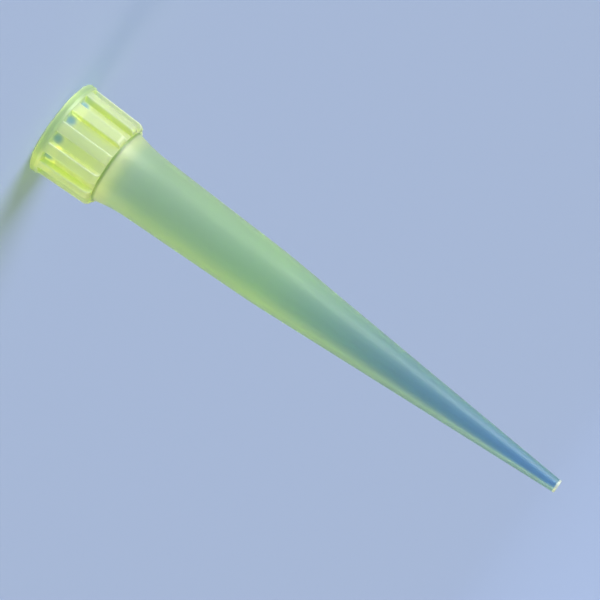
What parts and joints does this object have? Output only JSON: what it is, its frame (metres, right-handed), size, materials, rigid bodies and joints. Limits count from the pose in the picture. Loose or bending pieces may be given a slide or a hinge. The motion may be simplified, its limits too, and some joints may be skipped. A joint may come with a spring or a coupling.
{
  "type": "pipette tip",
  "caption": "Disposable pipette tip: a plain rim and ribbed collar, a flared neck and a two-stage tapered barrel around one open bore.",
  "frame": {"origin": "centre of the mouth, in the plane of the rim that the tip stands on", "axes": "+Z along the tip's axis, from the mouth to the narrow end; +X through the middle of one rib of the collar"},
  "size_m": [0.0082, 0.0082, 0.048],
  "materials": {
    "polypropylene": "translucent pale yellow, satin as moulded"
  },
  "bodies": {
    "root": {"pipette_tip": "polypropylene"}
  },
  "joints": []
}
